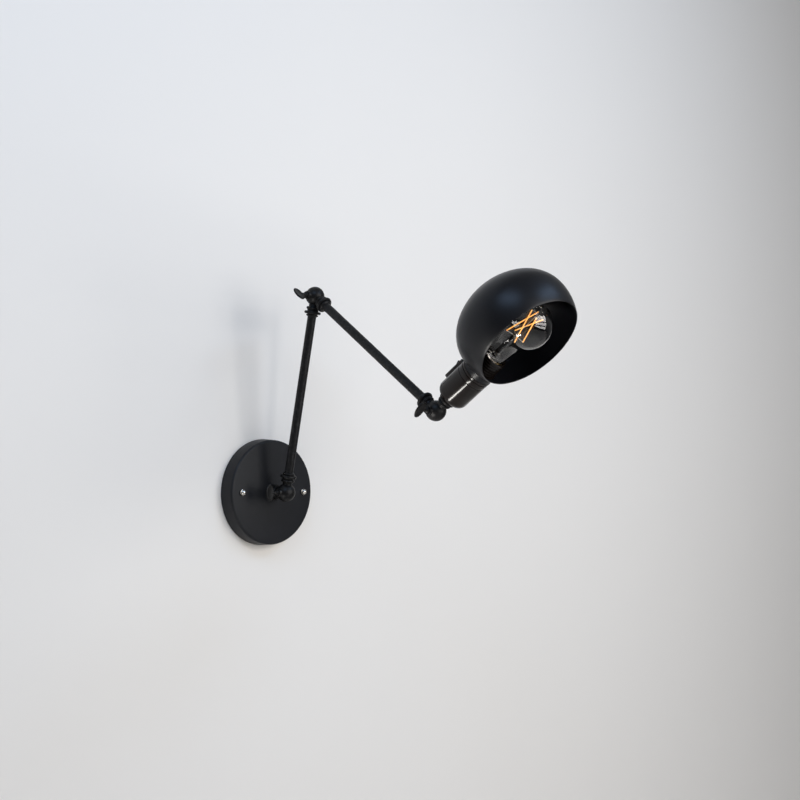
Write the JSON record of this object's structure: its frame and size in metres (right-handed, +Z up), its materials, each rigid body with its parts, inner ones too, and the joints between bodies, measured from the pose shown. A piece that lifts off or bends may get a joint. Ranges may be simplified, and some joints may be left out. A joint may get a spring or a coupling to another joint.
{
  "type": "swing arm wall lamp",
  "caption": "Black wall lamp with jointed arms on a round wall plate, wing screws at the ball joints, a dome shade and a clear filament bulb in a switched lampholder.",
  "frame": {"origin": "centre of the wall plate's back, on the wall, between the two wall screw slots", "axes": "+X to the right along the wall seen from the room, +Y into the wall, +Z up"},
  "size_m": [0.15, 0.5146, 0.358],
  "materials": {
    "plate_paint": "satin",
    "arm_paint": "matt",
    "shade_paint": "satin",
    "nickel": "polished",
    "steel": "zinc plated",
    "brass": "plain",
    "bakelite": "glossy",
    "nylon": "matt",
    "porcelain": "glazed",
    "clear_glass": "clear",
    "black_glass": "glossy",
    "wire": "plain",
    "filament": "glowing"
  },
  "bodies": {
    "plate": {"mounting_strap": "steel", "plate_studs": "steel", "stud_lock_nuts": "steel", "earth_screw": "brass", "wall_plate": "plate_paint", "cap_nuts": "nickel", "terminal_block": "nylon"},
    "base_joint": {"plate_coupling": "arm_paint", "base_nipple": "steel", "base_washer": "steel", "base_lock_nut": "steel", "knuckle_1_plate_half": "arm_paint"},
    "arm_1": {"knuckle_1_arm_half": "arm_paint", "arm_1_lower_coupling": "arm_paint", "arm_1_tube": "arm_paint", "arm_1_upper_coupling": "arm_paint", "knuckle_2_lower_half": "arm_paint", "pressure_washer_1": "arm_paint"},
    "arm_2": {"knuckle_2_upper_half": "arm_paint", "arm_2_inner_coupling": "arm_paint", "arm_2_tube": "arm_paint", "arm_2_outer_coupling": "arm_paint", "knuckle_3_arm_half": "arm_paint", "pressure_washer_2": "arm_paint"},
    "head": {"knuckle_3_head_half": "arm_paint", "head_coupling": "arm_paint", "head_nipple": "steel", "head_lock_nut": "steel", "lampholder_cap": "bakelite", "lampholder_body": "bakelite", "ceramic_insert": "porcelain", "screw_shell": "brass", "centre_contact": "brass", "switch_frame": "bakelite", "rocker_pin": "steel", "shade": "shade_paint", "shade_ring": "bakelite", "pressure_washer_3": "arm_paint"},
    "switch": {"switch_rocker": "bakelite"},
    "bulb": {"bulb_contact": "nickel", "bulb_insulator": "black_glass", "bulb_screw_base": "nickel", "bulb_glass": "clear_glass", "bulb_stem": "clear_glass", "bulb_filaments": "filament", "bulb_supports": "wire"},
    "wing_1": {"wing_screw_1": "arm_paint"},
    "wing_2": {"wing_screw_2": "arm_paint"},
    "wing_3": {"wing_screw_3": "arm_paint"}
  },
  "joints": [
    {"name": "base_swivel", "type": "hinge", "parent": "plate", "child": "base_joint", "pos_m": [0, 0, 0], "axis": [0, 1, 0], "range_deg": [-90, 90]},
    {"name": "arm_1_pivot", "type": "hinge", "parent": "base_joint", "child": "arm_1", "pos_m": [0, -0.0494, 0], "axis": [1, 0, 0], "range_deg": [-11, 165]},
    {"name": "arm_2_pivot", "type": "hinge", "parent": "arm_1", "child": "arm_2", "pos_m": [0, -0.10334, 0.26996], "axis": [-1, 0, 0], "range_deg": [-4, 150]},
    {"name": "head_pivot", "type": "hinge", "parent": "arm_2", "child": "head", "pos_m": [0, -0.32436, 0.10582], "axis": [1, 0, 0], "range_deg": [-40, 130]},
    {"name": "switch_rock", "type": "hinge", "parent": "head", "child": "switch", "pos_m": [0, -0.36072, 0.1535], "axis": [1, 0, 0], "range_deg": [0, 16]},
    {"name": "bulb_turn", "type": "hinge", "parent": "head", "child": "bulb", "pos_m": [0, -0.32436, 0.10582], "axis": [0, -0.8231, 0.5678], "continuous": true},
    {"name": "wing_1_turn", "type": "hinge", "parent": "base_joint", "child": "wing_1", "pos_m": [0, -0.0494, 0], "axis": [-1, 0, 0], "range_deg": [0, 360]},
    {"name": "wing_2_turn", "type": "hinge", "parent": "arm_1", "child": "wing_2", "pos_m": [0, -0.10334, 0.26996], "axis": [-1, 0, 0], "range_deg": [0, 360]},
    {"name": "wing_3_turn", "type": "hinge", "parent": "arm_2", "child": "wing_3", "pos_m": [0, -0.32436, 0.10582], "axis": [-1, 0, 0], "range_deg": [0, 360]}
  ]
}
